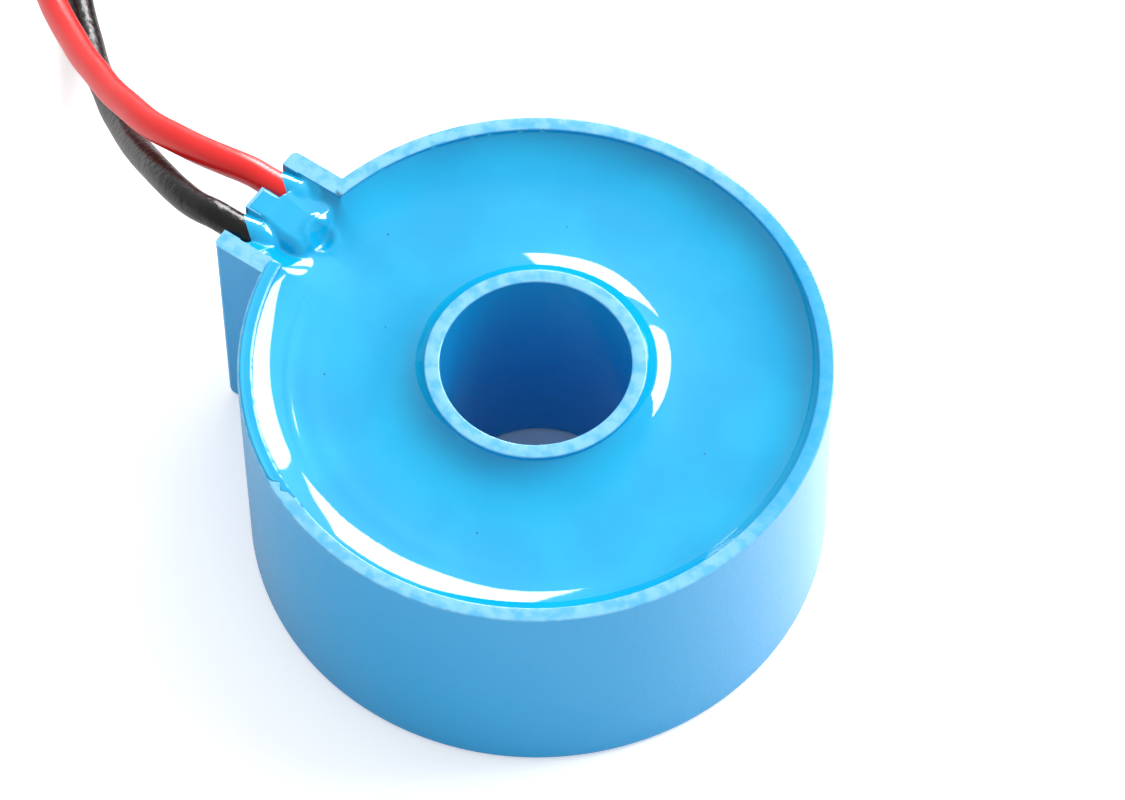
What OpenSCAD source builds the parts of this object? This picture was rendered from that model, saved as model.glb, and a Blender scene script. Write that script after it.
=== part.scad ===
// Current transformer with a through hole, potted in a round moulded case.
// The base stands on z = 0, the hole's axis is Z, and the lead pocket points along -X.

/* [Case] */
// Outside diameter of the round part
body_d = 31; // [29.5:0.1:34]
// Height from the base to the rim
body_h = 14.7; // [14:0.1:18]
// Diameter of the hole for the primary conductor
bore_d = 10; // [8:0.1:11.5]
// Thickness of the round outer wall
outer_wall = 0.8; // [0.6:0.05:1.2]
// Thickness of the wall around the hole
tube_wall = 0.8; // [0.6:0.05:1.2]
// Thickness of the closed base
base_t = 1.2; // [0.8:0.1:1.8]
// Radius on the outside edges of the base
base_round = 0.5; // [0.2:0.05:0.75]
// Chamfer where the hole opens through the base
bore_chamfer = 0.2; // [0.1:0.05:0.4]

/* [Lead pocket] */
// How far the pocket stands out from the round wall
pocket_out = 2.7; // [2.5:0.1:4.5]
// Thickness of the pocket's side and end walls
pocket_wall = 1; // [0.8:0.05:1.3]
// Radius on the pocket's upright outside corners
pocket_round = 0.35; // [0.1:0.05:0.6]
// Width of the rib that parts the two leads
rib_w = 1.4; // [1:0.1:2]
// How far the rib reaches in from the end wall
rib_len = 2.6; // [1.5:0.1:3.5]
// How far the rib's top lies below the rim
rib_drop = 0.5; // [0.2:0.1:1]
// Clearance between a lead and its notch in the end wall
notch_gap = 0.1; // [0.05:0.01:0.14]
// Clearance between a lead and the walls of its channel
channel_gap = 0.15; // [0.15:0.01:0.3]

/* [Leads] */
// Diameter over the insulation
lead_d = 1.6; // [1.3:0.05:1.8]
// Diameter of the tinned stranded conductor
conductor_d = 0.76; // [0.5:0.02:0.9]
// Depth of a lead's centre below the rim where it leaves the case
lead_sink = 0.8; // [0.6:0.05:1.2]
// Radius of the bend with which a lead turns down inside the pocket
bend_r = 1.6; // [1.2:0.05:1.7]
// Diameter at the middle of the stored coil's turns
coil_d = 17.6; // [17:0.1:19.2]
// Turns of lead that lie side by side in the coil
coil_turns = 2; // [1:1:3]
// Length of the stripped and tinned end
tip_len = 5; // [3:0.5:5.5]

/* [Splices] */
// Height at which the insulation ends inside the pocket
strip_z = 8.6; // [7.8:0.1:9.6]
// Length of bare conductor below the insulation
stub_len = 2.4; // [1.8:0.1:2.8]
// Diameter of the solder around conductor and winding wire
joint_d = 1.2; // [1:0.05:1.3]
// Wall of the shrunk sleeve over each joint
sleeve_wall = 0.1; // [0.05:0.01:0.12]
// How far the sleeve laps over the insulation, and past the joint below
sleeve_lap = 0.8; // [0.5:0.1:1.2]
// Diameter of the twisted ends of the winding wire
wire_d = 0.3; // [0.2:0.02:0.4]
// Height at which the wire ends cross to the winding
wire_z = 4; // [3:0.1:4.2]

/* [Wound core] */
// Resin around the wound core, towards the tube and the outer wall
resin_gap = 0.55; // [0.3:0.05:0.8]
// Thickness of the tape over the winding
tape_t = 0.15; // [0.1:0.05:0.3]
// Thickness of the winding
winding_t = 0.7; // [0.4:0.05:0.9]
// Thickness of the core box's walls and lid
box_wall = 0.6; // [0.4:0.05:0.8]
// Clearance between the core and its box
core_gap = 0.2; // [0.1:0.05:0.3]
// Clearance round the edges of the lid
lid_gap = 0.05; // [0.02:0.01:0.1]
// Thickness of the soft pad under the core
pad_t = 0.4; // [0.2:0.05:0.8]

/* [Resin] */
// How far the middle of the fill lies below the rim
fill_drop = 1.6; // [1.2:0.1:2.2]
// Resin over the top of the wound core
cover_t = 1.4; // [0.8:0.1:1.6]
// How high the resin creeps up a wall
creep_h = 1.3; // [0.5:0.05:1.3]
// Distance over which the creep fades
creep_w = 0.9; // [0.5:0.05:1.2]
// Film of resin over the lead's bend
film_t = 0.1; // [0.05:0.01:0.15]

/* [Hidden] */
$fn = 96;

case_blue = "#49a3d7";
resin_blue = "#22b4f2";
copper = "#b4652a";
tin = "#c9ccd0";
lead_red = "#e12d2d";
lead_black = "#3a3739";
sleeve_white = "#ece8dc";

cut = 0.01;          // overrun that keeps cuts clear of coincident faces
fill_steps = 16;     // straight steps in the curve of the resin's surface
tube_sides = 8;

body_r = body_d / 2;
bore_r = bore_d / 2;
tube_r = bore_r + tube_wall;
wall_r = body_r - outer_wall;
lead_r = lead_d / 2;

// Pocket: two channels and the rib between them, inside side walls
channel_w = lead_d + 2 * channel_gap;
notch_w = lead_d + 2 * notch_gap;
lead_y = (rib_w + channel_w) / 2;
pocket_in_w = rib_w + 2 * channel_w;
pocket_w = pocket_in_w + 2 * pocket_wall;
pocket_reach = body_r + pocket_out;
pocket_in_x = -pocket_reach + pocket_wall;

// Lead: down the end wall, round the bend and out through the notch
lead_z = body_h - lead_sink;
splice_x = pocket_in_x + channel_gap + lead_r;
bend_x = splice_x - bend_r;
bend_z = lead_z - bend_r;
notch_z = bend_z + notch_w / 2;   // the notch reaches down to the middle of the bend
stub_z = strip_z - stub_len;
joint_z = stub_z - 0.4;
joint_h = 1.6;
sleeve_z = joint_z - sleeve_lap / 2;
sleeve_top = strip_z + sleeve_lap;
sleeve_r = lead_r + sleeve_wall;

// Wound core: each layer is measured from the case that it has to fit
fill_z = body_h - fill_drop;
tape_in = tube_r + resin_gap;
tape_out = wall_r - resin_gap;
tape_top = fill_z - cover_t;
creep_reach = 2.8 * creep_w;     // the creep has faded this far from a wall
mouth_a = asin(pocket_in_w / 2 / wall_r);    // half the angle over which the pocket opens
mouth_x = wall_r * cos(mouth_a);
overlap_a = 1;       // how far the parts of the fill run into each other
spill = 0.05;        // how far they run into the walls before they are trimmed
box_inset = tape_t + winding_t;
box_in = tape_in + box_inset;
box_out = tape_out - box_inset;
box_z = base_t + box_inset;
box_top = tape_top - box_inset;
core_in = box_in + box_wall + core_gap;
core_out = box_out - box_wall - core_gap;
core_z = box_z + box_wall + pad_t;
core_top = box_top - box_wall - core_gap;

// Stored coil, just past where the leads come down to the surface
coil_at = [-41.5, 26.5];
coil_in = (coil_d - coil_turns * lead_d) / 2;

// Where each lead leaves the end wall, and the points that its middle line then follows
function lead_exit(side) = [-pocket_reach, side * lead_y, lead_z];
function lead_start(side) = [lead_exit(side), lead_exit(side) - [1.3, 0, 0]];

red_route = concat(lead_start(1), [
    [-21.4, 1.55, 13.6], [-23.1, 1.6, 13.1], [-24.9, 1.8, 12.5], [-26.9, 2.2, 11.6],
    [-29.2, 3.1, 10.4], [-31.2, 4, 9.2], [-33, 5, 8.2], [-34.8, 6, 7.2],
    [-36.5, 7.1, 6.3], [-38.2, 8.2, 5.5], [-39.9, 9.4, 4.8], [-41.7, 10.9, 4.1],
    [-43.5, 12.6, 3.5], [-45.2, 14.4, 3], [-46.8, 16.4, 2.7], [-48.2, 18.5, 2.5],
    [-49.4, 20.6, 2.4], [-50.2, 22.5, 2.4]
]);
black_route = concat(lead_start(-1), [
    [-20.9, -1.5, 13.4], [-22.5, -1, 12.7], [-24.2, -0.2, 11.7], [-25.8, 0.7, 10.5],
    [-27.6, 1.8, 9], [-29.3, 3, 7.5], [-30.9, 4.2, 6.1], [-32.5, 5.4, 4.8],
    [-34.2, 6.8, 3.6], [-36, 8.2, 2.6], [-37.8, 9.8, 1.8], [-39.5, 11.3, 1.2],
    [-41.3, 13, 0.9], [-43.4, 15.1, 0.8], [-45.7, 17.3, 0.8], [-47.9, 19.5, 0.8],
    [-49, 20.7, 0.8]
]);
// The end of each lead inside the coil, from the coil's centre, in inner radii of the coil
tail_route = [
    [0.92, -0.39], [0.79, -0.53], [0.63, -0.65], [0.42, -0.73],
    [0.17, -0.76], [-0.08, -0.71], [-0.29, -0.57], [-0.43, -0.38]
];

// ---- Case ----

// Half section of the round body, with its base edge rounded and the hole's lower edge chamfered
module body_section() {
    difference() {
        translate([bore_r, 0]) square([body_r - bore_r, body_h]);
        translate([body_r - base_round, 0]) edge_cutter(base_round);
        polygon([[bore_r - cut, -cut], [bore_r + bore_chamfer, -cut], [bore_r - cut, bore_chamfer]]);
    }
}

// What is left of a square corner outside a quarter circle, with the corner at [r, 0]
module edge_cutter(r) {
    difference() {
        translate([0, -cut]) square([r + cut, r + cut]);
        translate([0, r]) circle(r);
    }
}

// Plan of the pocket's block, run into the round body
module pocket_plan() {
    r = pocket_round;
    w = pocket_w / 2;
    translate([-pocket_reach + r, -w]) square([pocket_reach - tube_r - r, pocket_w]);
    translate([-pocket_reach, -w + r]) square([r + cut, pocket_w - 2 * r]);
    for (side = [-1, 1]) translate([-pocket_reach + r, side * (w - r)]) circle(r);
}

module pocket_block() {
    w = pocket_w / 2;
    reach = pocket_reach;
    difference() {
        linear_extrude(body_h) pocket_plan();
        // base edge of the end wall
        rotate([90, 0, 0]) linear_extrude(pocket_w + 1, center = true)
            mirror([1, 0]) translate([reach - base_round, 0]) edge_cutter(base_round);
        // base edges of the side walls
        for (side = [0, 1]) mirror([0, side, 0])
            translate([-reach - 1, 0, 0]) rotate([90, 0, 90]) linear_extrude(reach)
                translate([w - base_round, 0]) edge_cutter(base_round);
    }
}

// Everything inside the walls: the ring, the pocket and the open way between them
module cavity() {
    rotate_extrude() translate([tube_r, base_t]) square([wall_r - tube_r, body_h]);
    translate([pocket_in_x, -pocket_in_w / 2, base_t]) cube([-pocket_in_x - tube_r - 1, pocket_in_w, body_h]);
}

// Section of a notch: round at the bottom and open at the rim
module notch_section(top) {
    translate([0, notch_z]) circle(notch_w / 2);
    translate([-notch_w / 2, notch_z]) square([notch_w, top - notch_z]);
}

module notch(side, top) {
    in_channel(side) translate([-pocket_reach, 0, 0]) rotate([90, 0, 90])
        translate([0, 0, -cut]) linear_extrude(pocket_wall + 2 * cut) notch_section(top);
}

module rib() {
    translate([pocket_in_x - cut, -rib_w / 2, base_t - cut])
        cube([rib_len + cut, rib_w, body_h - rib_drop - base_t + cut]);
}

module case() {
    color(case_blue) {
        difference() {
            union() {
                rotate_extrude() body_section();
                difference() {
                    pocket_block();
                    translate([0, 0, -1]) cylinder(r = body_r - outer_wall / 2, h = body_h + 2);
                }
            }
            cavity();
            for (side = [-1, 1]) notch(side, body_h + 1);
        }
        rib();
    }
}

// ---- Resin ----

// How far the resin stands above its middle at distance d from a wall
function creep(d) = creep_h * (exp(-d / creep_w) - exp(-creep_reach / creep_w));
// Numbers from 0 to 1 that lie closer together towards both ends
function spread(i) = (1 - cos(180 * i / fill_steps)) / 2;

// Section square to a wall at x = 0. It runs a little into the wall, and the cavity trims it.
module creep_section() {
    curve = [for (i = [fill_steps:-1:0])
        let (d = creep_reach * spread(i))
        [d, fill_z + creep(d)]];
    polygon(concat([[-spill, 0], [creep_reach, 0]], curve, [[-spill, fill_z + creep(0)]]));
}

// Up the tube, and up the round wall as far as the pocket's mouth
module ring_creep() {
    open_a = mouth_a - overlap_a;
    rotate_extrude() translate([tube_r, 0]) creep_section();
    rotate([0, 0, open_a - 180]) rotate_extrude(angle = 360 - 2 * open_a)
        translate([wall_r, 0]) mirror([1, 0]) creep_section();
}

// Up a side wall of the pocket, and in a fan round the upright corner at its mouth
module side_creep() {
    translate([pocket_in_x - spill, pocket_in_w / 2, 0]) rotate([90, 0, 90])
        linear_extrude(2 * spill - pocket_in_x - mouth_x) mirror([1, 0]) creep_section();
    translate([-mouth_x, pocket_in_w / 2 + spill, 0]) rotate([0, 0, -90 - overlap_a])
        rotate_extrude(angle = 90 - mouth_a + 2 * overlap_a) intersection() {
            creep_section();
            square([creep_reach + 1, body_h]);
        }
}

module level_fill() {
    intersection() {
        cavity();
        union() {
            translate([-pocket_reach, -body_r, 0]) cube([pocket_reach + body_r, body_d, fill_z]);
            ring_creep();
            side_creep();
            mirror([0, 1, 0]) side_creep();
        }
    }
}

// Resin drawn up over a lead's bend, across the width of its channel
module bead(side) {
    in_channel(side) rotate([90, 0, 0]) linear_extrude(channel_w, center = true)
        intersection() {
            translate([bend_x, bend_z]) circle(bend_r + lead_r + film_t);
            translate([pocket_in_x, base_t]) square([body_r, body_h - base_t - 2 * film_t]);
        }
}

// Resin that fills a notch up to the middle of its lead
module notch_plug(side) {
    intersection() {
        notch(side, lead_z);
        translate([-pocket_reach, -body_r, 0]) cube([body_r, body_d, body_h]);
    }
}

module resin_fill() {
    color(resin_blue) difference() {
        union() {
            level_fill();
            for (side = [-1, 1]) {
                bead(side);
                notch_plug(side);
            }
        }
        rib();
        layer(0, tape_t + winding_t);
        for (side = [-1, 1]) {
            lead_bend(side);
            wire_run(side);
            in_channel(side) upright(splice_x, sleeve_r, sleeve_z, sleeve_top);
        }
    }
}

// ---- Wound core ----

// A ring with rounded corners, inset from the outside of the taped core on every side
module layer(inset, r) {
    inner = tape_in + inset;
    outer = tape_out - inset;
    low = base_t + inset;
    high = tape_top - inset;
    rotate_extrude() {
        translate([inner, low + r]) square([outer - inner, high - low - 2 * r]);
        translate([inner + r, low]) square([outer - inner - 2 * r, high - low]);
        for (x = [inner + r, outer - r], y = [low + r, high - r]) translate([x, y]) circle(r);
    }
}

module ring(inner, outer, low, high) {
    rotate_extrude() translate([inner, low]) square([outer - inner, high - low]);
}

// Strip wound into a ring
module core() {
    color("#8f949b") ring(core_in, core_out, core_z, core_top);
}

// Soft ring that the core rests on in its box
module core_pad() {
    color("#efe9d8") ring(core_in, core_out, core_z - pad_t, core_z);
}

// Open ring-shaped trough with a step round each rim for the lid
module core_box() {
    color("#23262b") difference() {
        ring(box_in, box_out, box_z, box_top);
        ring(box_in + box_wall, box_out - box_wall, box_z + box_wall, box_top + cut);
        ring(box_in + box_wall / 2, box_out - box_wall / 2, box_top - box_wall, box_top + cut);
    }
}

module core_box_lid() {
    color("#2e3239")
        ring(box_in + box_wall / 2 + lid_gap, box_out - box_wall / 2 - lid_gap, box_top - box_wall, box_top);
}

// All the turns of enamelled wire, as the one bundle that they make
module winding() {
    color(copper) difference() {
        layer(tape_t, winding_t);
        ring(box_in, box_out, box_z, box_top);
    }
}

module winding_tape() {
    color("#e3b93c") difference() {
        layer(0, tape_t + winding_t);
        layer(tape_t, winding_t);
        for (side = [-1, 1]) wire_run(side);
    }
}

// ---- Splices in the pocket ----

module in_channel(side) {
    translate([0, side * lead_y, 0]) children();
}

module upright(x, r, low, high) {
    translate([x, 0, low]) cylinder(r = r, h = high - low);
}

// Twisted wire end: down from the conductor, then in through the tape
module wire_run(side) {
    in_channel(side) {
        upright(splice_x, wire_d / 2, wire_z, stub_z);
        translate([splice_x, 0, wire_z]) sphere(wire_d / 2);
        translate([splice_x, 0, wire_z]) rotate([0, 90, 0])
            cylinder(r = wire_d / 2, h = -splice_x - tape_out + 3 * tape_t);
    }
}

module wire_end(side) {
    color(copper) difference() {
        wire_run(side);
        layer(tape_t, winding_t);
    }
}

module joint(side) {
    r = joint_d / 2;
    neck = wire_d / 2 + 0.05;
    color(tin) in_channel(side) difference() {
        translate([splice_x, 0, joint_z]) rotate_extrude()
            polygon([
                [0, 0], [neck, 0], [r, r], [r, joint_h - r / 2],
                [conductor_d / 2 + 0.05, joint_h], [0, joint_h]
            ]);
        upright(splice_x, conductor_d / 2, stub_z, strip_z);
        upright(splice_x, wire_d / 2, joint_z - cut, stub_z + cut);
    }
}

module stub(side) {
    color(tin) in_channel(side) upright(splice_x, conductor_d / 2, stub_z, strip_z);
}

module sleeve(side) {
    color(sleeve_white) in_channel(side) difference() {
        upright(splice_x, sleeve_r, sleeve_z, sleeve_top);
        upright(splice_x, lead_r, sleeve_z - cut, sleeve_top + cut);
    }
}

// ---- Leads ----

// The part of a lead inside the pocket: up, round the bend and out to the end wall's face
module lead_bend(side) {
    in_channel(side) {
        upright(splice_x, lead_r, strip_z, bend_z);
        translate([bend_x, 0, bend_z]) rotate([90, 0, 0])
            rotate_extrude(angle = 90) translate([bend_r, 0]) circle(lead_r);
        translate([-pocket_reach, 0, lead_z]) rotate([0, 90, 0])
            cylinder(r = lead_r, h = pocket_reach + bend_x);
    }
}

function unit(v) = v / norm(v);
function heading(route, i) =
    i == 0 ? unit(route[1] - route[0])
    : i == len(route) - 1 ? unit(route[i] - route[i - 1])
    : unit(unit(route[i + 1] - route[i]) + unit(route[i] - route[i - 1]));

// Points of one cross-section of the tube: a polygon square to the route
function section(centre, along, r) =
    let (across = unit(cross(along, [0, 0, 1])), up = cross(across, along))
    [for (k = [0:tube_sides - 1])
        let (a = 360 * k / tube_sides) centre + r * (cos(a) * across + sin(a) * up)];

module tube(route, r) {
    n = tube_sides;
    last = len(route) - 1;
    points = [for (i = [0:last]) each section(route[i], heading(route, i), r)];
    sides = [for (i = [0:last - 1], k = [0:n - 1])
        let (a = i * n + k, b = i * n + (k + 1) % n) [a, a + n, b + n, b]];
    start = [for (k = [0:n - 1]) k];
    end = [for (k = [n - 1:-1:0]) last * n + k];
    polyhedron(concat(points), concat([start], sides, [end]));
}

// The inner end of a coiled lead, at height z
function tail(z) = [for (p = tail_route) let (at = coil_at + coil_in * p) [at[0], at[1], z]];

// Lead from the case to its coil, and its end inside the coil
module lead(colour, route, level) {
    color(colour) {
        tube(route, lead_r);
        tube(tail(level * lead_d + lead_r), lead_r);
    }
}

// Outer shape of a lead's turns, side by side, in the given layer of the coil
module coil(colour, level) {
    color(colour) translate([coil_at[0], coil_at[1], level * lead_d]) rotate_extrude()
        translate([coil_in + lead_r, lead_r]) {
            translate([0, -lead_r]) square([(coil_turns - 1) * lead_d, lead_d]);
            for (x = [0, (coil_turns - 1) * lead_d]) translate([x, 0]) circle(lead_r);
        }
}

// Stripped and tinned end, straight on from the insulation
module tip(level) {
    route = tail(level * lead_d + lead_r);
    last = len(route) - 1;
    along = heading(route, last);
    color(tin) translate(route[last]) rotate([0, 90, atan2(along[1], along[0])])
        cylinder(r = conductor_d / 2, h = tip_len);
}

case();
resin_fill();
core();
core_pad();
core_box();
core_box_lid();
winding();
winding_tape();
wire_end(1);  // red_wire_end
wire_end(-1);  // black_wire_end
joint(1);  // red_joint
joint(-1);  // black_joint
stub(1);  // red_stub
stub(-1);  // black_stub
sleeve(1);  // red_sleeve
sleeve(-1);  // black_sleeve
color(lead_red) lead_bend(1);  // red_lead_root
color(lead_black) lead_bend(-1);  // black_lead_root
lead(lead_red, red_route, 1);  // red_lead
lead(lead_black, black_route, 0);  // black_lead
coil(lead_red, 1);  // red_coil
coil(lead_black, 0);  // black_coil
tip(1);  // red_tip
tip(0);  // black_tip
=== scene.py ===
import math

import bmesh
import bpy
from mathutils import Matrix, Vector, noise


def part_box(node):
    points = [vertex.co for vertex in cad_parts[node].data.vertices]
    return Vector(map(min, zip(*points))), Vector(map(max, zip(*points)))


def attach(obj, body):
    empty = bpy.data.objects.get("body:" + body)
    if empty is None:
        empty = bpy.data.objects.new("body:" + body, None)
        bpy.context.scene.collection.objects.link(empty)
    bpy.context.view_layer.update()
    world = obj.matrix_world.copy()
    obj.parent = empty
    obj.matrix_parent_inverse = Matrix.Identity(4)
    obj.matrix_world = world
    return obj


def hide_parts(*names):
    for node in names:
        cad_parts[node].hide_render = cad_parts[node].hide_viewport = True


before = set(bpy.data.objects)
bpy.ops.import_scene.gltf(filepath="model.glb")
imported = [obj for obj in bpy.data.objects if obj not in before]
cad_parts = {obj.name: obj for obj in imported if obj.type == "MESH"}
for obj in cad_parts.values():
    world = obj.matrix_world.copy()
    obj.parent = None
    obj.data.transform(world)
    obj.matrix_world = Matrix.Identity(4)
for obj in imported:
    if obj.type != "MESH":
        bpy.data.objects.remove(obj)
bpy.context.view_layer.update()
MM = 0.001

# ---- Sizes, in millimetres, the same as the solids' ----

case_low, case_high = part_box("case")
BODY_R = case_high[0] / MM            # round part of the case
RIM_Z = case_high[2] / MM
POCKET_REACH = -case_low[0] / MM      # end wall's outer face
BORE_R = 5.0
BORE_CHAMFER = 0.2                    # at the hole's lower end
TUBE_R = 5.8
OUTER_WALL = 0.8
WALL_R = BODY_R - OUTER_WALL
BASE_T = 1.2
BASE_ROUND = 0.5
POCKET_WALL = 1.0
POCKET_IN = POCKET_REACH - POCKET_WALL
CHANNEL_Y = 2.6                       # half width inside the pocket
POCKET_Y = CHANNEL_Y + POCKET_WALL
RIB_Y = 0.7
RIB_END = POCKET_IN - 2.6
RIB_Z = RIM_Z - 0.5
LEAD_R = 0.8
LEAD_Y = 1.65
LEAD_Z = RIM_Z - LEAD_R
NOTCH_R = 0.9
BEND_R = 1.6
SPLICE_X = -16.25
BEND_X = SPLICE_X - BEND_R
BEND_Z = LEAD_Z - BEND_R
FILL_Z = RIM_Z - 1.6                  # middle of the resin's surface
TINY = 1e-6                           # tells points on a plane, and guards a division


# ---- Small sums ----

def ease(t):
    t = min(max(t, 0.0), 1.0)
    return t * t * (3 - 2 * t)


def ramp(value, start, end):
    """Eases from 0 at start to 1 at end; end may be the lower of the two."""
    return ease((value - start) / (end - start))


def mix(a, b, t):
    return a + (b - a) * t


def bell(d, width):
    return math.exp(-(d / width) ** 2)


def smooth_max(a, b, soft):
    t = min(max(0.5 + (a - b) / (2 * soft), 0.0), 1.0)
    return mix(b, a, t) + soft * t * (1 - t)


# ---- Camera ----

VIEW_AZIMUTH = math.radians(35.529)
VIEW_ELEVATION = math.radians(57.940)
VIEW_DISTANCE = 308.755
VIEW_ROLL = math.radians(-0.680)
VIEW_TARGET = Vector((2.464, -1.100, RIM_Z))
VIEW_LENS = 191.2
# Level directions, to the camera's right and away from it.
VIEW_RIGHT = (math.cos(VIEW_AZIMUTH), math.sin(VIEW_AZIMUTH), 0)
VIEW_AHEAD = (-math.sin(VIEW_AZIMUTH), math.cos(VIEW_AZIMUTH), 0)


def make_camera():
    data = bpy.data.cameras.new("camera")
    data.sensor_width = 36.0
    data.lens = VIEW_LENS
    data.clip_start = 0.01
    data.clip_end = 5.0
    camera = bpy.data.objects.new("camera", data)
    bpy.context.scene.collection.objects.link(camera)
    bpy.context.scene.camera = camera
    flat = math.cos(VIEW_ELEVATION)
    away = Vector((
        math.sin(VIEW_AZIMUTH) * flat,
        -math.cos(VIEW_AZIMUTH) * flat,
        math.sin(VIEW_ELEVATION)))
    camera.location = (VIEW_TARGET + away * VIEW_DISTANCE) * MM
    turn = (-away).to_track_quat("-Z", "Y").to_matrix().to_4x4()
    camera.matrix_world = (
        Matrix.Translation(camera.location) @ turn @ Matrix.Rotation(VIEW_ROLL, 4, "Z"))


make_camera()


# ---- Leads ----

ROOT_DEPTHS = (1.5, 0.7)              # upright stretch below the bend
BEND_STEPS = 6
WAY_OUT = (0, 0.5, 1.3)               # straight stretch out from the end wall
BLACK_LEVEL = LEAD_R
RED_LEVEL = 3 * LEAD_R                # the red coil lies on the black one
RED_ROUTE = [
    (-21.4, 1.55, 13.6), (-23.1, 1.6, 13.1), (-24.9, 1.8, 12.5), (-26.9, 2.2, 11.6),
    (-29.2, 3.1, 10.4), (-31.2, 4, 9.2), (-33, 5, 8.2), (-34.8, 6, 7.2),
    (-36.5, 7.1, 6.3), (-38.2, 8.2, 5.5), (-39.9, 9.4, 4.8), (-41.7, 10.9, 4.1),
    (-43.5, 12.6, 3.5), (-45.2, 14.4, 3), (-46.8, 16.4, 2.7), (-48.2, 18.5, 2.5),
    (-49.4, 20.6, 2.4), (-50.2, 22.5, 2.4)]
BLACK_ROUTE = [
    (-20.9, -1.5, 13.4), (-22.5, -1, 12.7), (-24.2, -0.2, 11.7), (-25.8, 0.7, 10.5),
    (-27.6, 1.8, 9), (-29.3, 3, 7.5), (-30.9, 4.2, 6.1), (-32.5, 5.4, 4.8),
    (-34.2, 6.8, 3.6), (-36, 8.2, 2.6), (-37.8, 9.8, 1.8), (-39.5, 11.3, 1.2),
    (-41.3, 13, 0.9), (-43.4, 15.1, 0.8), (-45.7, 17.3, 0.8), (-47.9, 19.5, 0.8),
    (-49, 20.7, 0.8)]
TAIL_ROUTE = [                        # from the coil's middle, ending at the stripped tip
    (6.62, -2.81), (5.69, -3.82), (4.54, -4.68), (3.02, -5.26), (1.22, -5.47), (-0.58, -5.11),
    (-2.09, -4.1), (-3.1, -2.74)]
TAIL_ANGLE = math.degrees(math.atan2(TAIL_ROUTE[0][1], TAIL_ROUTE[0][0]))
TAIL_START = math.hypot(*TAIL_ROUTE[0])
COIL_AT = Vector((-41.5, 26.5))
OUTER_TURN = 9.6
INNER_TURN = 8.0
COIL_STEP = 18.0                      # degrees between the coil's points
COIL_FROM = 10.0                      # degrees left free after the route's last point
COIL_SPARE = 12.0                     # and before the tail's first
TURN_INWARDS = (290, 350)             # degrees over which the first turn moves in to the second
TAIL_INWARDS = 60                     # last degrees of the coil, which move in to the tail


def root_points(side):
    """The bend inside the pocket, from the vertical stretch to the way out over the end wall."""
    points = [(SPLICE_X, side * LEAD_Y, BEND_Z - depth) for depth in ROOT_DEPTHS]
    for step in range(BEND_STEPS + 1):
        a = math.radians(90 * step / BEND_STEPS)
        points.append(
            (BEND_X + BEND_R * math.cos(a), side * LEAD_Y, BEND_Z + BEND_R * math.sin(a)))
    points.append((-POCKET_REACH, side * LEAD_Y, LEAD_Z))
    return points


def coil_points(start, level):
    """Two turns side by side, clockwise from the angle at which the lead arrives."""
    travel = start - TAIL_ANGLE + 360
    points = []
    t = COIL_FROM
    while t < travel - COIL_SPARE:
        r = mix(OUTER_TURN, INNER_TURN, ramp(t, *TURN_INWARDS))
        r = mix(r, TAIL_START, ramp(t, travel - TAIL_INWARDS, travel))
        a = math.radians(start - t)
        points.append((COIL_AT.x + r * math.cos(a), COIL_AT.y + r * math.sin(a), level))
        t += COIL_STEP
    return points


def lead_line(side, route, level):
    last = Vector(route[-1][:2]) - COIL_AT
    start = math.degrees(math.atan2(last.y, last.x)) % 360
    way_out = [(-POCKET_REACH - out, side * LEAD_Y, LEAD_Z) for out in WAY_OUT]
    tail = [(COIL_AT.x + x, COIL_AT.y + y, level) for x, y in TAIL_ROUTE]
    return way_out + route + coil_points(start, level) + tail


def insulated(name, line, roundness=8):
    """Round insulation along a line; the points carry its radius."""
    curve = bpy.data.curves.new(name, "CURVE")
    curve.dimensions = "3D"
    curve.resolution_u = 6
    curve.bevel_depth = 1.0
    curve.bevel_resolution = roundness
    curve.use_fill_caps = True
    spline = curve.splines.new("BEZIER")
    spline.bezier_points.add(len(line) - 1)
    for knot, p in zip(spline.bezier_points, line):
        knot.co = Vector(p) * MM
        knot.handle_left_type = knot.handle_right_type = "AUTO"
        knot.radius = LEAD_R * MM
    lead = bpy.data.objects.new(name, curve)
    bpy.context.scene.collection.objects.link(lead)
    return lead


red = insulated("red_insulation", lead_line(1, RED_ROUTE, RED_LEVEL))
black = insulated("black_insulation", lead_line(-1, BLACK_ROUTE, BLACK_LEVEL))
red_root = insulated("red_root", root_points(1), roundness=22)
black_root = insulated("black_root", root_points(-1), roundness=22)
for piece, colour, side in ((red, "red", 1), (black, "black", -1)):
    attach(piece, "root")
    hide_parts(colour + "_lead", colour + "_coil")
for piece, colour in ((red_root, "red"), (black_root, "black")):
    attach(piece, "root")
    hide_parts(colour + "_lead_root")


# ---- Mesh helpers ----

def finish_mesh(name, bm, smooth=True):
    bmesh.ops.recalc_face_normals(bm, faces=bm.faces)
    mesh = bpy.data.meshes.new(name)
    bm.to_mesh(mesh)
    bm.free()
    for face in mesh.polygons:
        face.use_smooth = smooth
    made = bpy.data.objects.new(name, mesh)
    bpy.context.scene.collection.objects.link(made)
    return made


def revolved(name, profile, steps=256):
    """A closed profile of (radius, height) turned about the hole's axis."""
    bm = bmesh.new()
    verts = [bm.verts.new((r * MM, 0, z * MM)) for r, z in profile]
    edges = [bm.edges.new((verts[i], verts[(i + 1) % len(verts)])) for i in range(len(verts))]
    bmesh.ops.spin(
        bm, geom=verts + edges, cent=(0, 0, 0), axis=(0, 0, 1), angle=2 * math.pi,
        steps=steps, use_merge=True)
    bmesh.ops.remove_doubles(bm, verts=bm.verts, dist=1e-7)
    return finish_mesh(name, bm)


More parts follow.
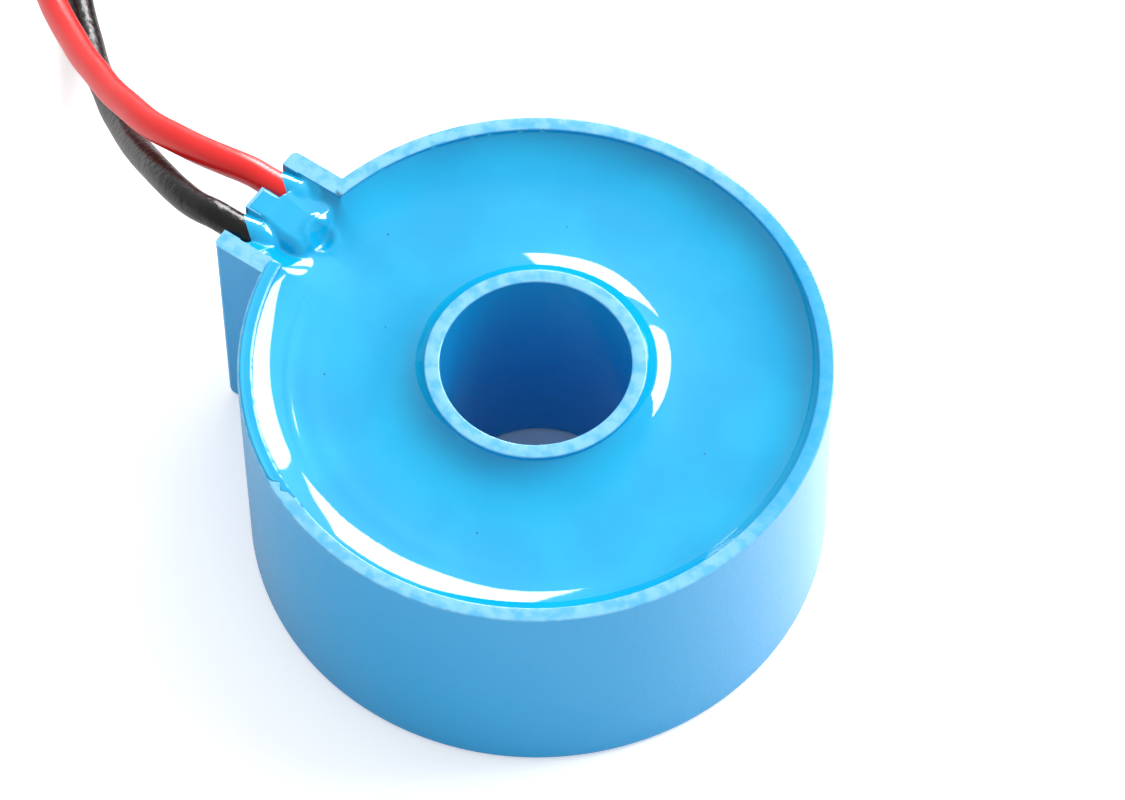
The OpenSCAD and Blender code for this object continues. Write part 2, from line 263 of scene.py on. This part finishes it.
def quarter(centre_r, centre_z, radius, start, steps=4):
    """Points of a quarter circle in a (radius, height) profile, from a start angle in degrees."""
    angles = [math.radians(start + 90 * i / steps) for i in range(steps + 1)]
    return [(centre_r + radius * math.cos(a), centre_z + radius * math.sin(a)) for a in angles]


def block(name, low, high):
    bm = bmesh.new()
    size = [(b - a) * MM for a, b in zip(low, high)]
    middle = [(a + b) / 2 * MM for a, b in zip(low, high)]
    bmesh.ops.create_cube(
        bm, size=1.0, matrix=Matrix.Translation(middle) @ Matrix.Diagonal((*size, 1)))
    return finish_mesh(name, bm, smooth=False)


def rod_along_x(name, r, start, length, steps=32):
    bm = bmesh.new()
    turn = Matrix.Rotation(math.pi / 2, 4, "Y")
    middle = Matrix.Translation((0, 0, length / 2 * MM))
    bmesh.ops.create_cone(
        bm, cap_ends=True, segments=steps, radius1=r * MM, radius2=r * MM, depth=length * MM,
        matrix=Matrix.Translation(Vector(start) * MM) @ turn @ middle)
    return finish_mesh(name, bm, smooth=False)


def bevel_edges(bm, edges, offset, segments):
    bmesh.ops.bevel(
        bm, geom=edges, offset=offset * MM, segments=segments, profile=0.5, affect="EDGES",
        material=-1)


def settle(piece):
    """Makes the piece's modifiers part of its mesh."""
    graph = bpy.context.evaluated_depsgraph_get()
    mesh = bpy.data.meshes.new_from_object(piece.evaluated_get(graph))
    piece.modifiers.clear()
    piece.data = mesh


def combine(base, others, how):
    for other in others:
        step = base.modifiers.new(how.lower(), "BOOLEAN")
        step.object = other
        step.operation = how
        step.solver = "EXACT"
    settle(base)
    for other in others:
        bpy.data.objects.remove(other)


def weigh_normals(piece):
    """Flat faces stay flat beside their rounded edges."""
    step = piece.modifiers.new("normals", "WEIGHTED_NORMAL")
    step.weight = 80
    step.keep_sharp = True


# ---- Case ----

EDGE = 0.09                           # rounding of the moulding's edges
END_CORNER = 0.35                     # rounding of the end wall's upright corners
MOUTH_X = -math.sqrt(WALL_R ** 2 - CHANNEL_Y ** 2)
JOIN_X = -(WALL_R + 0.25)             # the pocket's walls end inside the round wall
RIB_SHORT = 0.5                       # the rib's end stays back, under the resin
LAP = 0.01                            # small overlap of two shapes
PAST = 1                              # how far a cutter stands out of what it cuts
OPEN_TOP = RIM_Z + 2
CUTTERS_END = -8                      # well inside the cup, clear of the tube
MOUTH_END = -12
NOTCH_CUT = 3                         # length of the cutter through the end wall


def make_shell():
    """Round wall, base and tube in one turned profile."""
    profile = [(BORE_R + BORE_CHAMFER, 0)]
    profile += quarter(BODY_R - BASE_ROUND, BASE_ROUND, BASE_ROUND, -90)
    profile += quarter(BODY_R - EDGE, RIM_Z - EDGE, EDGE, 0)
    profile += quarter(WALL_R + EDGE, RIM_Z - EDGE, EDGE, 90)
    profile += [(WALL_R, BASE_T), (TUBE_R, BASE_T)]
    profile += quarter(TUBE_R - EDGE, RIM_Z - EDGE, EDGE, 0)
    profile += quarter(BORE_R + EDGE, RIM_Z - EDGE, EDGE, 90)
    profile += [(BORE_R, BORE_CHAMFER)]
    return revolved("case_shell", profile)


def round_pocket(pocket):
    """Rounds the end wall's upright corners, then the edges that the pocket stands on."""
    bm = bmesh.new()
    bm.from_mesh(pocket.data)
    end = -POCKET_REACH * MM + TINY
    upright = [e for e in bm.edges if all(v.co.x < end for v in e.verts)
               and abs(e.verts[0].co.z - e.verts[1].co.z) > MM]
    bevel_edges(bm, upright, END_CORNER, 5)
    low = [e for e in bm.edges if all(v.co.z < TINY for v in e.verts)
           and min(v.co.x for v in e.verts) < -WALL_R * MM]
    bevel_edges(bm, low, BASE_ROUND, 4)
    bm.to_mesh(pocket.data)
    bm.free()


def notch_cutter(y):
    """Round below and straight above, as a lead is laid in from the top."""
    out = -POCKET_REACH - PAST
    bottom = BEND_Z + NOTCH_R
    notch = rod_along_x("notch", NOTCH_R, (out, y, bottom), NOTCH_CUT)
    sides = block(
        "notch_sides", (out, y - NOTCH_R, bottom), (out + NOTCH_CUT, y + NOTCH_R, OPEN_TOP))
    combine(notch, [sides], "UNION")
    return notch


def make_pocket():
    """The lead pocket alone, with its channels, rib and notches cut."""
    pocket = block(
        "pocket", (-POCKET_REACH, -POCKET_Y, 0), (-RIB_END + 2 * LAP, POCKET_Y, RIM_Z))
    round_pocket(pocket)
    inner_end = (CUTTERS_END, CHANNEL_Y, OPEN_TOP)
    cuts = [
        block("above_rib", (-POCKET_IN, -CHANNEL_Y, RIB_Z), inner_end),
        block("behind_rib", (-RIB_END - RIB_SHORT, -CHANNEL_Y, BASE_T), inner_end)]
    for side in (-1, 1):
        low, high = sorted((side * RIB_Y, side * CHANNEL_Y))
        cuts.append(block("channel", (-POCKET_IN, low, BASE_T), (CUTTERS_END, high, OPEN_TOP)))
        low, high = sorted((side * (CHANNEL_Y - LAP), side * (POCKET_Y + PAST + LAP)))
        cuts.append(block("wall_end", (JOIN_X, low, -PAST), (CUTTERS_END, high, OPEN_TOP)))
        cuts.append(notch_cutter(side * LEAD_Y))
    combine(pocket, cuts, "DIFFERENCE")
    bevel = pocket.modifiers.new("edges", "BEVEL")
    bevel.width = EDGE * MM
    bevel.segments = 3
    bevel.limit_method = "ANGLE"
    bevel.angle_limit = math.radians(50)
    settle(pocket)
    return pocket


def make_case():
    case = make_shell()
    mouth = block(
        "mouth", (-BODY_R - PAST, -CHANNEL_Y, BASE_T), (MOUTH_END, CHANNEL_Y, OPEN_TOP))
    combine(case, [mouth], "DIFFERENCE")
    combine(case, [make_pocket()], "UNION")
    case.name = case.data.name = "case_moulding"
    for face in case.data.polygons:
        face.use_smooth = True
    weigh_normals(case)
    return case


case = make_case()
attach(case, "root")
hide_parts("case")


# ---- Resin ----
# Angles are in degrees from -X, positive towards -Y.

MOUTH_ANGLE = math.degrees(math.atan2(CHANNEL_Y, -MOUTH_X))
POCKET_START = -13                    # the pocket's own forms begin here
POCKET_SWELL = 0.12                   # the fill stands a little higher towards the pocket
SWELL_SPAN = (-11, -14)
POCKET_FILL = 0.5                     # and higher still at the end wall
WAVINESS = 0.02
WAVE_GRAIN = 0.35

CREEP_H = 1.3                         # resin drawn up a wall, and how soon it levels out
CREEP_W = 0.9
WET_H = 1.13                          # fuller creep where it was poured against the wall
WET_W = 1.45
WET_START = (-6, 14)
WET_END = (125, 100)
RIPPLE = (1.75, 0.22, 0.062)          # distance from the wall, width and height
RIPPLE_END = (70, 45)
BROAD_RIPPLE = (2.9, 0.5, 0.03)

RIM_FILM = 0.02                       # resin run over the rim beside the pocket
RIM_BEAD = (0.03, 0.09, 0.05)         # bead along its edge: distance in, width and height
FILM_R = BODY_R - 0.13
FILM_START = (9, 10.5)
FILM_END = (70, 62)
FILM_RAGGED = 2.0                     # degrees that its ends wander
FILM_GRAIN = 0.4
FILM_Z = RIM_Z + 0.03                 # film over the end wall
FILM_X = POCKET_REACH - 0.2           # it stops short of the wall's outer face
TOP_Z = FILM_Z + 0.04                 # no resin stands higher

COLLAR_R = 0.95                       # resin drawn up round a lead
COLLAR_Y = COLLAR_R - 0.02            # its sides stop just before they are upright
COLLAR_LEAN = 0.25
COLLAR_EDGE = (0.6, -0.42)            # its edge across the lead, at the end wall and the tip
COLLAR_DROP = 0.1
TIP_X = -16.9                         # where a lead goes under
COVER_T = 0.04                        # resin over the middle of a lead that has gone under
COVER_FALL = 0.28                     # and how it thins to the lead's sides
COVER_SINK = 0.7
BELOW = -9.0                          # a height under everything

RIB_FILM_Z = RIB_Z + 0.06
RIB_FILM_Y = 0.6                      # half width of the film on the rib
RED_SIDE_Y = 2.9                      # how far it spreads on the red lead's side
RED_SIDE_FALL = 0.14
RIB_FILM_SHORT = 0.35
RIB_FILM_RISE = 1.9                   # it rises to the end wall over this length
RIB_FILM_FALL = (3.0, 1.2)            # fall past its edge, at the end wall and further in
RIB_FILM_CURVE = 1.8

WALL_FILM_GAP = 0.03                  # below the tops of the pocket's side walls
WALL_FILM_FALL = 0.72
NOTCH_FALL = 3.2                      # steeper in the notches
WALL_FILM_DROP = 1.3                  # it comes down towards the cup
WALL_FILM_SPAN = (-15.9, -14.3)

PIT_AT = (-14.2, 0.5)                 # bubble that burst in the pocket's mouth
PIT_R = 0.68
PIT_DEPTH = 0.16
PIT_EDGE = 1.1                        # where it meets the surface, in its radii
PIT_LIP = (1.15, 0.35, 0.07)          # lip round it: distance and width in radii, and height


def side_angle(x, y):
    return math.degrees(math.atan2(-y, -x))


def wetness(angle):
    """1 where the resin lies up against the round wall."""
    return ramp(angle, *WET_START) * ramp(angle, *WET_END)


def filmed(angle):
    """1 where it also covers the rim."""
    ragged = FILM_RAGGED * noise.noise((angle * FILM_GRAIN, 3.0, 0.0))
    return ramp(angle - ragged, *FILM_START) * ramp(angle - 4 * ragged, *FILM_END)


def reach(angle):
    """Distance from the hole's axis to the resin's edge at that angle."""
    a = abs(math.radians(angle))
    if abs(angle) >= MOUTH_ANGLE:
        return mix(WALL_R, FILM_R, filmed(angle))
    return min(FILM_X / math.cos(a), CHANNEL_Y / max(math.sin(a), TINY))


def wall_distance(x, y):
    r = math.hypot(x, y)
    if x < MOUTH_X and abs(y) < CHANNEL_Y + LAP:
        return max(CHANNEL_Y - abs(y), 0.0)
    if abs(side_angle(x, y)) >= MOUTH_ANGLE:
        return WALL_R - r
    return math.hypot(x - MOUTH_X, CHANNEL_Y - abs(y))


def wall_creep(x, y):
    d = max(wall_distance(x, y), 0.0)
    wet = wetness(side_angle(x, y))
    return mix(CREEP_H * math.exp(-d / CREEP_W), WET_H * math.exp(-d / WET_W), wet)


def ripples(r, angle):
    """Low rings that the resin set with, along the wall that it was poured against."""
    inwards = WALL_R - r
    at, width, rise = RIPPLE
    narrow = rise * ramp(angle, *RIPPLE_END) * bell(inwards - at, width)
    at, width, rise = BROAD_RIPPLE
    return wetness(angle) * (narrow + rise * bell(inwards - at, width))


def over_bend(r, x):
    """Height of an arc of radius r about the leads' bend."""
    along = max(x - BEND_X, 0)
    return BEND_Z + math.sqrt(r * r - along * along) if along < r else BELOW


def lead_hump(x, y):
    """Resin drawn up the back of a lead, and right over it where the lead dips."""
    off = y - math.copysign(LEAD_Y, y)
    t = min(max((x + POCKET_REACH) / (POCKET_REACH + TIP_X), 0), 1)
    lean = COLLAR_LEAN * t
    edge = mix(*COLLAR_EDGE, t)
    collar = BELOW
    if abs(off - lean) < COLLAR_Y:
        sunk = math.sqrt(COLLAR_R ** 2 - (edge - lean) ** 2) - math.sqrt(LEAD_R ** 2 - edge ** 2)
        sunk -= COLLAR_DROP * ramp(x, TIP_X, TIP_X + 0.4)
        collar = over_bend(BEND_R + math.sqrt(COLLAR_R ** 2 - (off - lean) ** 2), x) - sunk
    cover = over_bend(BEND_R + LEAD_R + COVER_T - COVER_FALL * off ** 2, x)
    return max(collar, cover - COVER_SINK * ramp(x, TIP_X + 0.5, TIP_X - 0.1))


def rib_cover(x, y):
    """Film over the rib and on to the red lead's side, rising to the end wall."""
    inner = ramp(x, -POCKET_IN + 0.05, -POCKET_IN + 0.65)
    half = mix(RIB_FILM_Y, RED_SIDE_Y, inner) if y > 0 else RIB_FILM_Y
    out = math.hypot(max(abs(y) - half, 0), max(x + RIB_END + RIB_FILM_SHORT, 0))
    rise = (FILM_Z - RIB_FILM_Z) * ramp(x, -POCKET_IN + RIB_FILM_RISE, -POCKET_IN)
    fall = RED_SIDE_FALL * max(y - 1, 0) + mix(*RIB_FILM_FALL, inner) * out ** RIB_FILM_CURVE
    return RIB_FILM_Z + rise - fall


def wall_film(x, y):
    """Resin up to the tops of the pocket's side walls, and on the edges of the notches."""
    steep = mix(WALL_FILM_FALL, NOTCH_FALL, ramp(x, -POCKET_IN + 0.5, -POCKET_IN - 0.2))
    drop = WALL_FILM_DROP * ramp(x, *WALL_FILM_SPAN)
    return RIM_Z - WALL_FILM_GAP - drop - steep * (CHANNEL_Y - abs(y))


def pit(x, y):
    """The burst bubble's hollow and its low lip."""
    out = math.hypot(x - PIT_AT[0], y - PIT_AT[1]) / PIT_R
    at, width, rise = PIT_LIP
    return rise * bell(out - at, width) - PIT_DEPTH * ease(PIT_EDGE - out)


def surface(x, y):
    r = math.hypot(x, y)
    z = FILL_Z + POCKET_SWELL * ramp(x, *SWELL_SPAN)
    z += CREEP_H * math.exp(-max(r - TUBE_R, 0) / CREEP_W) + wall_creep(x, y)
    z += WAVINESS * noise.noise((x * WAVE_GRAIN, y * WAVE_GRAIN, 1.0))
    z += ripples(r, side_angle(x, y))
    if x < POCKET_START and abs(y) <= CHANNEL_Y + LAP:
        z = mix(z, FILL_Z + POCKET_FILL, ramp(x, -POCKET_IN + 0.6, -POCKET_IN))
        z = smooth_max(z, wall_film(x, y), soft=0.12)
        z = smooth_max(z, rib_cover(x, y), soft=0.2)
        crisp = ramp(x, -POCKET_IN + 0.7, -POCKET_IN + 0.2)
        z = smooth_max(z, lead_hump(x, y), soft=mix(0.25, 0.05, crisp)) + pit(x, y)
    elif r > WALL_R:
        inwards, width, rise = RIM_BEAD
        z = RIM_Z + RIM_FILM + rise * bell(FILM_R - r - inwards, width)
    return z


FAN = 14                              # degrees each side of -X where the rays lie close
FAN_RAYS = 240
ROUND_RAYS = 360
RINGS = 110
RIM_RINGS = 8
WIDE_RINGS = 40                       # in the fan, the rings that stop short of the pocket
WIDE_R = 13.4
FAN_BLEND = 6                         # degrees over which the two spacings blend
SIDE_LEAST = 0.1                      # height of the resin's sides, at the least
SIDE_DEPTH = 1                        # and how far they go below the fill


def ring_distance(j, angle, edge):
    """Rings lie close together at both walls, and in the fan along the pocket."""
    even = mix(TUBE_R, edge, 0.5 - 0.5 * math.cos(math.pi * j / RINGS))
    if j < WIDE_RINGS:
        fan = mix(TUBE_R, WIDE_R, j / WIDE_RINGS)
    else:
        fan = mix(WIDE_R, edge, (j - WIDE_RINGS) / (RINGS - WIDE_RINGS))
    return mix(fan, even, ease((abs(angle) - MOUTH_ANGLE) / FAN_BLEND))


def make_resin():
    """A net of rays and rings laid on the surface, with sides and a bottom under it."""
    rays = [FAN * (2 * i / FAN_RAYS - 1) for i in range(FAN_RAYS)]
    rays += [FAN + (360 - 2 * FAN) * i / ROUND_RAYS for i in range(ROUND_RAYS)]
    rows = RINGS + RIM_RINGS
    bm = bmesh.new()
    bmesh.ops.create_grid(bm, x_segments=len(rays), y_segments=rows, size=0.5)
    for v in bm.verts:
        i = round((v.co.x + 0.5) * len(rays))
        j = round((v.co.y + 0.5) * rows)
        angle = -((rays[i % len(rays)] + 180) % 360 - 180)
        edge = min(reach(angle), WALL_R) if abs(angle) >= MOUTH_ANGLE else reach(angle)
        if j <= RINGS:
            r = ring_distance(j, angle, edge)
        else:
            r = mix(edge, max(reach(angle), edge), (j - RINGS) / RIM_RINGS)
        a = math.radians(180 + angle)
        x, y = r * math.cos(a), r * math.sin(a)
        v.co = Vector((x, y, min(surface(x, y), TOP_Z))) * MM
    bmesh.ops.remove_doubles(bm, verts=bm.verts, dist=1e-8)
    edges = [e for e in bm.edges if e.is_boundary]
    for v in bmesh.ops.extrude_edge_only(bm, edges=edges)["geom"]:
        if isinstance(v, bmesh.types.BMVert):
            v.co.z = min(v.co.z - SIDE_LEAST * MM, (FILL_Z - SIDE_DEPTH) * MM)
    bmesh.ops.bridge_loops(bm, edges=[e for e in bm.edges if e.is_boundary])
    return finish_mesh("resin_surface", bm)


resin = make_resin()
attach(resin, "root")
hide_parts("resin_fill")


# ---- Material helpers ----

def srgb(r, g, b):
    def linear(c):
        c /= 255
        return c / 12.92 if c <= 0.04045 else ((c + 0.055) / 1.055) ** 2.4
    return (linear(r), linear(g), linear(b), 1.0)


def material(name, colour, roughness, **inputs):
    made = bpy.data.materials.new(name)
    made.use_nodes = True
    shader = made.node_tree.nodes["Principled BSDF"]
    shader.inputs["Base Color"].default_value = colour
    shader.inputs["Roughness"].default_value = roughness
    for key, value in inputs.items():
        shader.inputs[key.replace("_", " ")].default_value = value
    return made


def dress(piece, made):
    piece.data.materials.clear()
    piece.data.materials.append(made)


def position(tree, space="Object"):
    return tree.nodes.new("ShaderNodeTexCoord").outputs[space]


def calculated(tree, operation, a, b):
    """The sum or product of two nodes' values."""
    step = tree.nodes.new("ShaderNodeMath")
    step.operation = operation
    tree.links.new(a, step.inputs[0])
    tree.links.new(b, step.inputs[1])
    return step.outputs[0]


def measured(tree, operation, vector, other=(0, 0, 0), output="Value"):
    """A node's vector set against a fixed one, by the named operation."""
    step = tree.nodes.new("ShaderNodeVectorMath")
    step.operation = operation
    step.inputs[1].default_value = other
    tree.links.new(vector, step.inputs[0])
    return step.outputs[output]


def mapped(tree, value, low, high, to_low=0.0, to_high=1.0):
    """A smooth step of a node's value."""
    step = tree.nodes.new("ShaderNodeMapRange")
    step.interpolation_type = "SMOOTHSTEP"
    for key, number in (
            ("From Min", low), ("From Max", high), ("To Min", to_low), ("To Max", to_high)):
        step.inputs[key].default_value = number
    tree.links.new(value, step.inputs["Value"])
    return step.outputs["Result"]


def grain(tree, scale, detail=2.0):
    speckle = tree.nodes.new("ShaderNodeTexNoise")
    speckle.inputs["Scale"].default_value = scale
    speckle.inputs["Detail"].default_value = detail
    tree.links.new(position(tree), speckle.inputs["Vector"])
    return speckle.outputs["Fac"]


def blend_colour(tree, factor, first, second):
    """Puts a mix of two colours on the shader's base colour; first may be a socket."""
    mixer = tree.nodes.new("ShaderNodeMix")
    mixer.data_type = "RGBA"
    tree.links.new(factor, mixer.inputs["Factor"])
    if isinstance(first, bpy.types.NodeSocket):
        tree.links.new(first, mixer.inputs[6])
    else:
        mixer.inputs[6].default_value = first
    mixer.inputs[7].default_value = second
    tree.links.new(mixer.outputs[2], tree.nodes["Principled BSDF"].inputs["Base Color"])
    return mixer.outputs[2]


def roughen(made, scale, depth, detail=2.0):
    """Fine relief all over a material; depth is in metres."""
    tree = made.node_tree
    relief = tree.nodes.new("ShaderNodeBump")
    relief.inputs["Distance"].default_value = depth
    relief.inputs["Strength"].default_value = 1.0
    tree.links.new(grain(tree, scale, detail), relief.inputs["Height"])
    tree.links.new(relief.outputs["Normal"], tree.nodes["Principled BSDF"].inputs["Normal"])


# ---- Materials ----

MOULDED_BLUE = srgb(26, 160, 220)
# Paler blue painted on the rim tops as a highlight, in dusty patches
DUSTY_SHEEN_BLUE = srgb(124, 192, 230)
CLOUD_BLUES = (srgb(4, 158, 210), srgb(10, 168, 217))
GRIT = srgb(8, 60, 96)
SHEEN_PATCH_GRAIN = 1300.0
SHEEN_TOP = (RIM_Z - 0.12, RIM_Z - 0.02)
SHEEN_RIGHT = (9.0, 13.5)             # they fade over this stretch
CLOUD_GRAIN = 160.0
SPECKS = [                            # grit that set in the resin: place and radius
    (-13.85, -0.15, 0.1), (-9.2, -6.1, 0.07), (-11.6, 2.9, 0.07), (-4.1, 8.7, 0.06),
    (2.9, -9.4, 0.07), (9.8, 1.2, 0.06), (-8.3, -1.9, 0.06)]


def moulded_plastic():
    """Painted highlight: the moulding's top edges are painted paler, in dusty patches, and less
    at the far right.
    """
    made = material("moulded_blue", MOULDED_BLUE, 0.2, Specular_IOR_Level=0.35)
    tree = made.node_tree
    height = measured(tree, "DOT_PRODUCT", position(tree), (0, 0, 1))
    top = mapped(tree, height, SHEEN_TOP[0] * MM, SHEEN_TOP[1] * MM)
    patchy = mapped(tree, grain(tree, SHEEN_PATCH_GRAIN, detail=4.0), 0.35, 0.6, to_low=0.45)
    right = measured(tree, "DOT_PRODUCT", position(tree), VIEW_RIGHT)
    fade = mapped(tree, right, SHEEN_RIGHT[0] * MM, SHEEN_RIGHT[1] * MM, 1.0, 0.2)
    dust_and_sheen = calculated(tree, "MULTIPLY", patchy, fade)
    # painted highlight on the rim tops, patchy like dust, fading towards the right
    blend_colour(tree, calculated(tree, "MULTIPLY", top, dust_and_sheen), MOULDED_BLUE, DUSTY_SHEEN_BLUE)
    roughen(made, 2600.0, 0.00002)
    return made


def potting_resin():
    """Glossy and a little cloudy, with specks of grit."""
    made = material("blue_resin", CLOUD_BLUES[0], 0.05)
    tree = made.node_tree
    cloudy = mapped(tree, grain(tree, CLOUD_GRAIN, detail=3.0), 0.35, 0.65)
    paint = blend_colour(tree, cloudy, *CLOUD_BLUES)
    flat = measured(tree, "MULTIPLY", position(tree), (1, 1, 0), output="Vector")
    for x, y, r in SPECKS:
        out = measured(tree, "DISTANCE", flat, (x * MM, y * MM, 0))
        spot = mapped(tree, out, 0.6 * r * MM, r * MM, to_low=0.8, to_high=0.0)
        paint = blend_colour(tree, spot, paint, GRIT)
    return made


red_pvc = material("red_pvc", srgb(228, 26, 26), 0.3)
roughen(red_pvc, 900.0, 0.00001)
black_pvc = material("black_pvc", srgb(9, 8, 9), 0.27, Specular_IOR_Level=0.35)
roughen(black_pvc, 2400.0, 0.00006, detail=3.0)
tinned = material("tinned_copper", srgb(200, 200, 205), 0.35, Metallic=1.0)
copper = material("enamelled_copper", srgb(180, 100, 45), 0.35, Metallic=1.0)
steel = material("core_strip", srgb(140, 145, 152), 0.35, Metallic=1.0)
box_black = material("box_plastic", srgb(32, 34, 38), 0.5)
foam = material("foam_pad", srgb(236, 230, 214), 0.9)
tape = material("polyester_tape", srgb(226, 184, 58), 0.3)
sleeve = material("shrunk_sleeve", srgb(236, 232, 220), 0.45)

dress(case, moulded_plastic())
dress(resin, potting_resin())
for piece in (red, red_root):
    dress(piece, red_pvc)
for piece in (black, black_root):
    dress(piece, black_pvc)
for node, made in {
        "core": steel, "core_pad": foam, "core_box": box_black, "core_box_lid": box_black,
        "winding": copper, "winding_tape": tape}.items():
    dress(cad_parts[node], made)
for colour in ("red", "black"):
    for node, made in {
            "wire_end": copper, "joint": tinned, "stub": tinned, "tip": tinned,
            "sleeve": sleeve}.items():
        dress(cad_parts[colour + "_" + node], made)


# ---- Floor and light ----

FLOOR_LIFT = 0.4                      # the paper is lit a little more than the parts
HOLE_SHADE = (0.006, 0.009)           # but not under the hole
FLOOR_SHINE = 0.8                     # and more yet in what shines on the lamps' side
SHINE_SPAN = (0.004, 0.03)
ROOM_NEAR = 0.66
ROOM_FAR = 0.85
ROOM_SPAN = (-0.5, 0.5)
GLOW = 1.0                            # wall between the two soft boxes
GLOW_WAY = (-0.03, 0.82, 0.57)
GLOW_SPAN = (0.72, 1.0)


def make_floor():
    bm = bmesh.new()
    bmesh.ops.create_grid(bm, x_segments=1, y_segments=1, size=1.5)
    floor = finish_mesh("floor", bm, smooth=False)
    paper = material("white_paper", (0.9, 0.9, 0.9, 1), 0.9, Specular_IOR_Level=0.0)
    tree = paper.node_tree
    rays = tree.nodes.new("ShaderNodeLightPath").outputs
    lift = mapped(tree, measured(tree, "LENGTH", position(tree)), *HOLE_SHADE, 0.0, FLOOR_LIFT)
    right = measured(tree, "DOT_PRODUCT", position(tree), VIEW_RIGHT)
    shine = mapped(tree, right, *SHINE_SPAN, 0.0, FLOOR_SHINE)
    seen = calculated(tree, "MULTIPLY", rays["Is Camera Ray"], lift)
    mirrored = calculated(tree, "MULTIPLY", rays["Is Glossy Ray"], shine)
    shader = tree.nodes["Principled BSDF"]
    shader.inputs["Emission Color"].default_value = (1, 1, 1, 1)
    tree.links.new(calculated(tree, "ADD", seen, mirrored), shader.inputs["Emission Strength"])
    dress(floor, paper)


def make_world():
    """A white room, brighter across from the camera and darker behind it."""
    world = bpy.data.worlds.new("studio")
    world.use_nodes = True
    bpy.context.scene.world = world
    tree = world.node_tree
    back = tree.nodes["Background"]
    back.inputs["Color"].default_value = (1, 1, 1, 1)
    way = position(tree, "Generated")
    ahead = measured(tree, "DOT_PRODUCT", way, VIEW_AHEAD)
    room = mapped(tree, ahead, *ROOM_SPAN, ROOM_NEAR, ROOM_FAR)
    between = measured(tree, "DOT_PRODUCT", way, GLOW_WAY)
    glow = mapped(tree, between, *GLOW_SPAN, 0.0, GLOW)
    tree.links.new(calculated(tree, "ADD", room, glow), back.inputs["Strength"])


def soft_box(name, azimuth, elevation, distance, width, height, power, shine_only=False):
    """An oblong lamp aimed at the origin, which gives either shine alone or light alone."""
    light = bpy.data.lights.new(name, "AREA")
    light.shape = "RECTANGLE"
    light.size = width
    light.size_y = height
    light.energy = power
    lamp = bpy.data.objects.new(name, light)
    bpy.context.scene.collection.objects.link(lamp)
    a = math.radians(azimuth)
    e = math.radians(elevation)
    way = Vector((math.cos(a) * math.cos(e), math.sin(a) * math.cos(e), math.sin(e)))
    lamp.location = way * distance
    lamp.rotation_euler = (-way).to_track_quat("-Z", "Y").to_euler()
    lamp.visible_diffuse = not shine_only
    lamp.visible_glossy = shine_only


make_floor()
make_world()
soft_box(
    "right_box", azimuth=71, elevation=25, distance=0.6, width=0.42, height=0.30, power=8,
    shine_only=True)
soft_box(
    "back_box", azimuth=114, elevation=25, distance=0.6, width=0.24, height=0.30, power=4.5,
    shine_only=True)
soft_box("key_box", azimuth=60, elevation=50, distance=0.7, width=0.4, height=0.4, power=4)
bpy.context.scene.view_settings.view_transform = "Standard"

bpy.context.view_layer.update()
